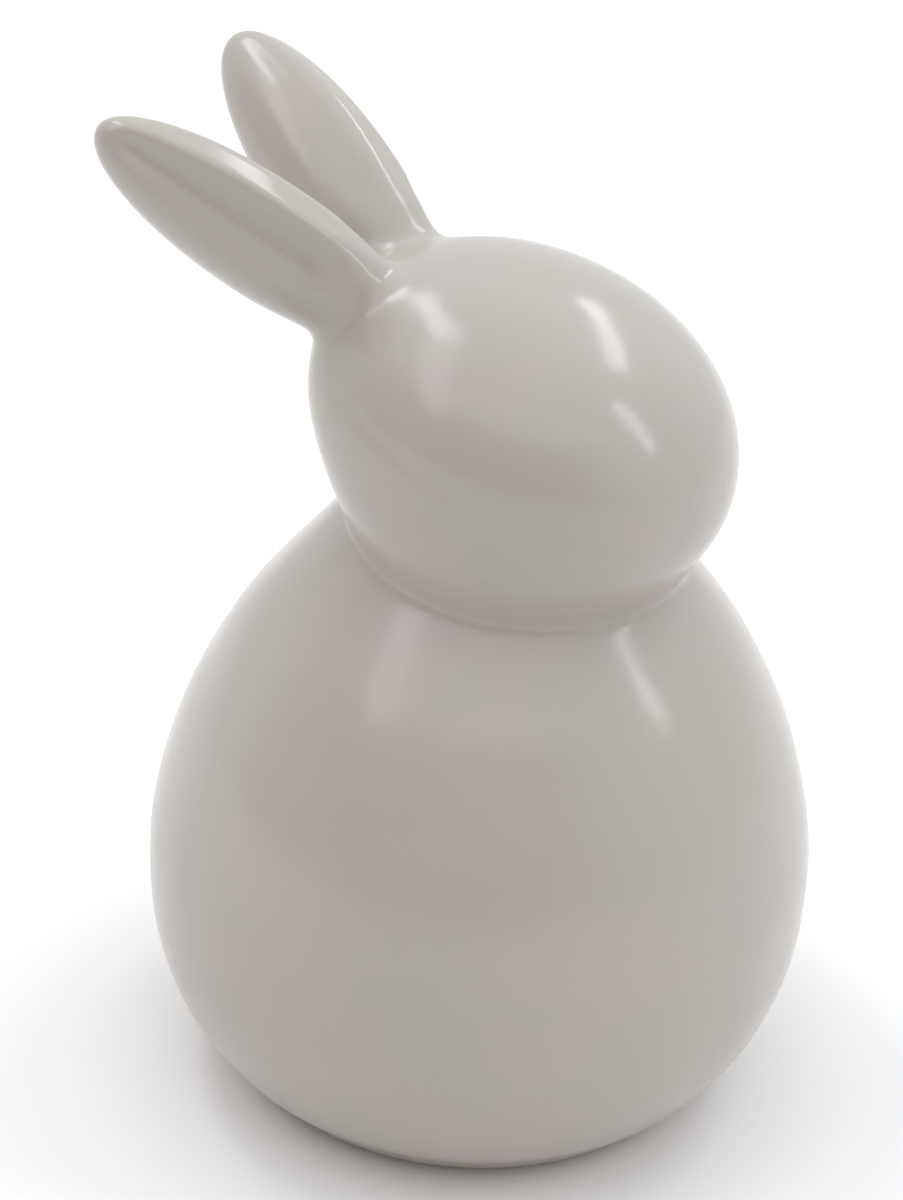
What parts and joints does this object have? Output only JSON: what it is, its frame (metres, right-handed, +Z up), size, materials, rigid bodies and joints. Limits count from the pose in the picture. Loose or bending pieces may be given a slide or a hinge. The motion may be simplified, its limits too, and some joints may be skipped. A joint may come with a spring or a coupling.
{
  "type": "ceramic rabbit ornament",
  "caption": "White glazed rabbit ornament with a hollow egg body, a bowed egg head, laid-back grooved ears, a round tail and a felt base.",
  "frame": {"origin": "middle of the felt base, on the surface that the ornament stands on", "axes": "+Z up, -Y the way the rabbit looks, so its right side is at -X"},
  "size_m": [0.122, 0.126, 0.1801],
  "materials": {
    "white_glaze": "glossy off-white glaze",
    "glazed_slip": "smoothed clay slip under the glaze",
    "bare_clay": "unglazed fired clay",
    "felt": "short wool felt"
  },
  "bodies": {
    "root": {"base_slab": "bare_clay", "base_slab_slip": "bare_clay", "body_shell": "white_glaze", "felt_base": "felt", "head_shell": "white_glaze", "left_ear": "white_glaze", "left_ear_slip": "glazed_slip", "neck_slip": "glazed_slip", "right_ear": "white_glaze", "right_ear_slip": "glazed_slip", "tail": "white_glaze", "tail_slip": "glazed_slip"}
  },
  "joints": []
}
